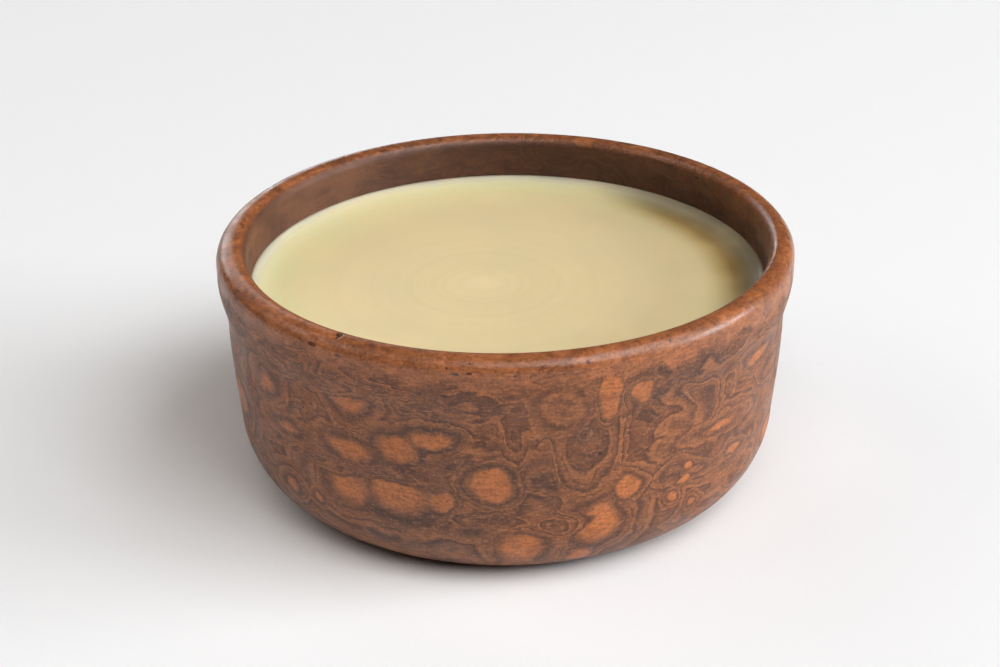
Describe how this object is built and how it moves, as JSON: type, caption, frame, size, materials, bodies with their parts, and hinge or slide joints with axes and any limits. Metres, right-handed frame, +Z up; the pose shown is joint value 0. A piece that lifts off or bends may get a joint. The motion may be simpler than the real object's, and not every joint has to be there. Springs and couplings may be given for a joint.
{
  "type": "shaving bowl",
  "caption": "Low round turned burl-wood shaving bowl with a soft lip, a rounded bottom corner and a flat foot ring, filled near the rim with a poured cake of shaving soap.",
  "frame": {"origin": "on the table, at the centre of the foot ring's underside", "axes": "+Z up along the turning axis, out of the bowl's mouth; the bowl is round, so X and Y are free"},
  "size_m": [0.105, 0.105, 0.046],
  "materials": {
    "burl_wood": "satin",
    "shaving_soap": "matte"
  },
  "bodies": {
    "root": {"bowl": "burl_wood", "soap": "shaving_soap"}
  },
  "joints": []
}
